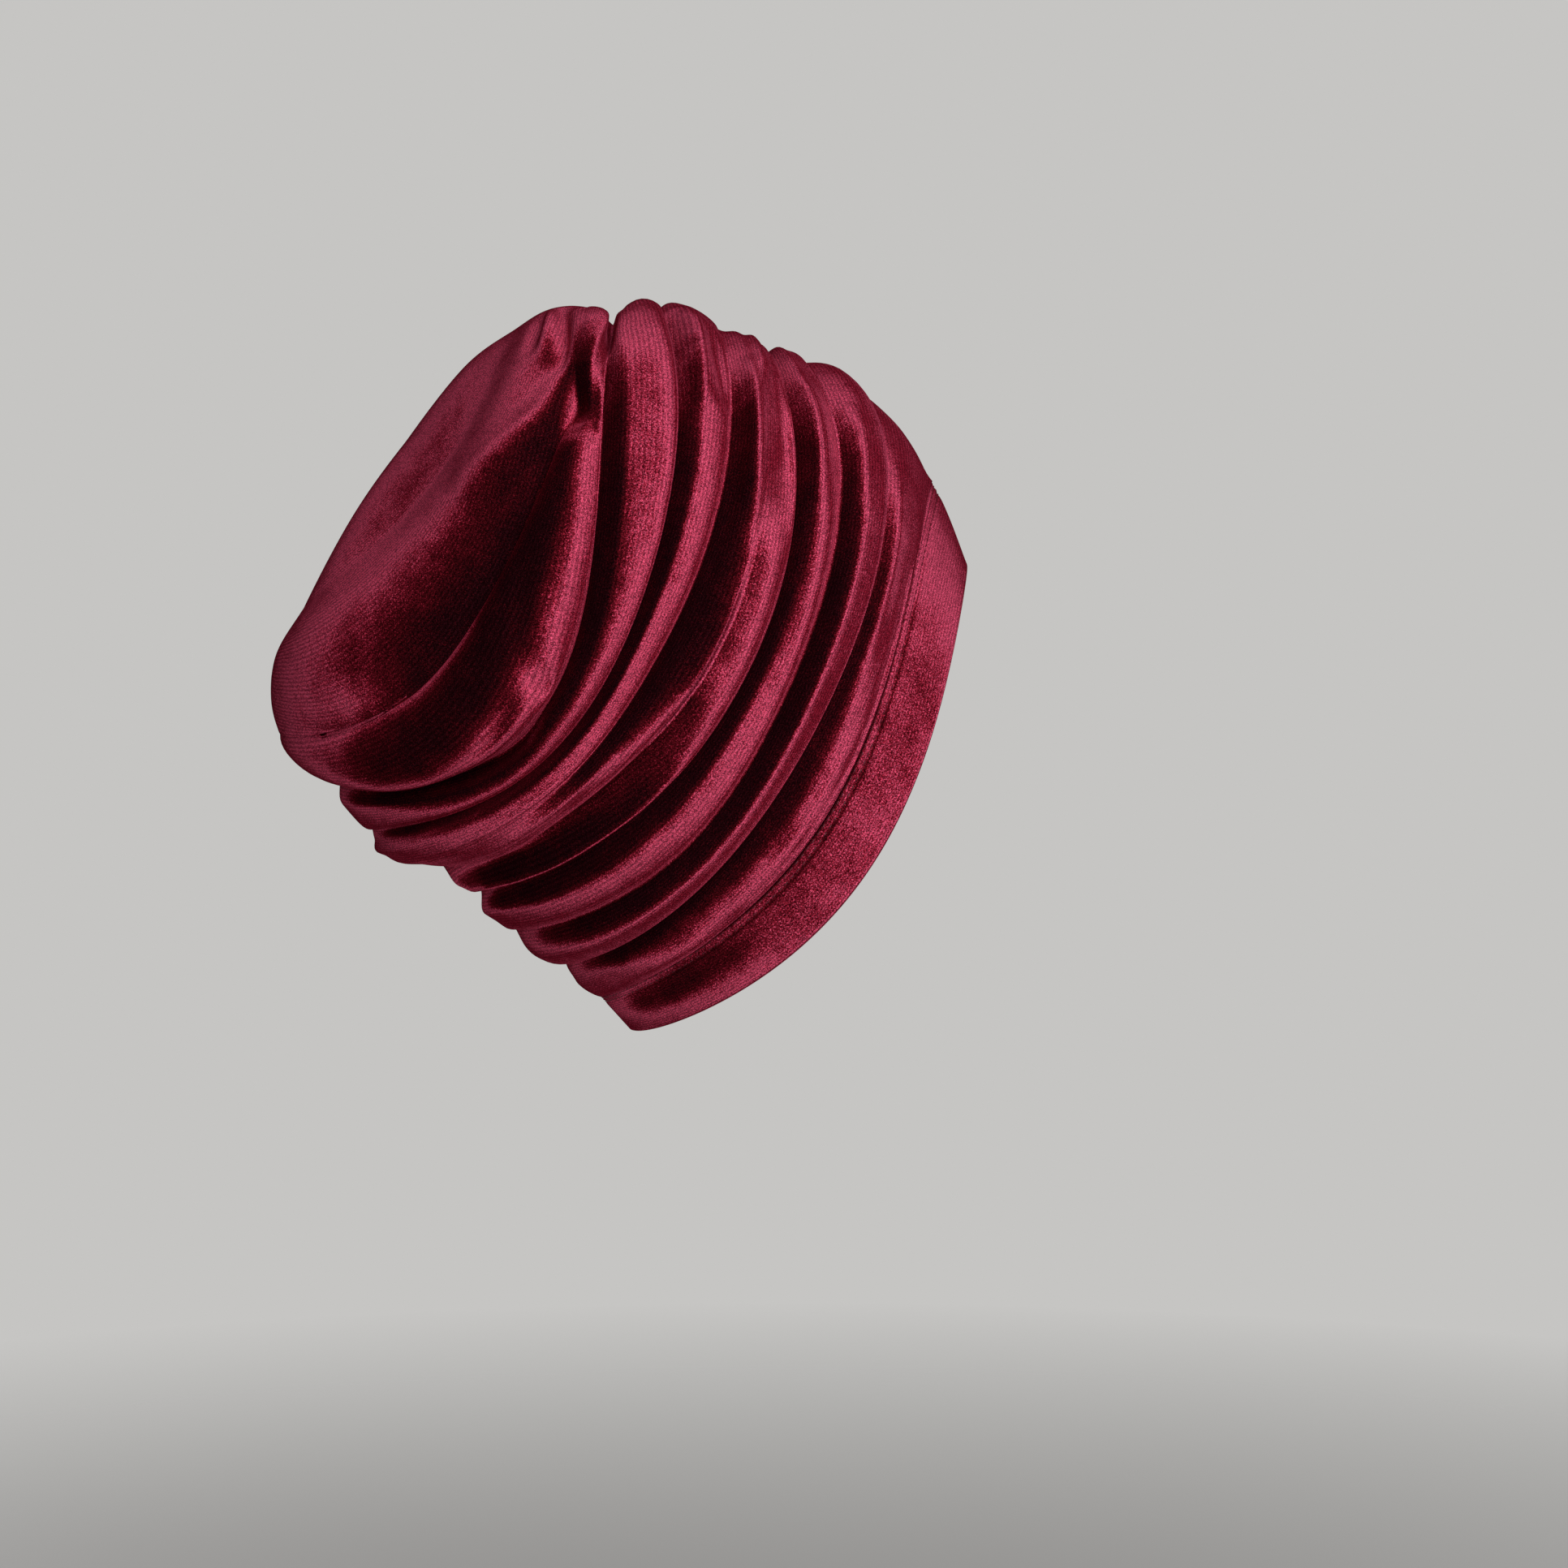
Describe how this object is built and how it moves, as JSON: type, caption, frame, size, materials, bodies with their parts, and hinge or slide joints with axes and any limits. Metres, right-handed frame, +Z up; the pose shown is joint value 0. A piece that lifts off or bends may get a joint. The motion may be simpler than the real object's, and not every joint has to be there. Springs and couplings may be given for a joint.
{
  "type": "slouchy velvet beanie",
  "caption": "Soft slouchy head cover of stretch velvet in its worn shape, with draped folds, a gathered top, a drooping tail and a doubled hem round the face.",
  "frame": {"origin": "middle of the opening that the head goes into, about halfway between the hem at the forehead and the hem at the nape", "axes": "+X to the front of the head, +Y to the wearer's left, +Z up, as worn on a level head"},
  "size_m": [0.2391, 0.1933, 0.249],
  "materials": {
    "velvet": "crushed stretch velvet with a bright nap along the folds",
    "hem_velvet": "the same velvet, doubled and topstitched"
  },
  "bodies": {
    "root": {"crown": "velvet", "brim_band": "hem_velvet"}
  },
  "joints": []
}
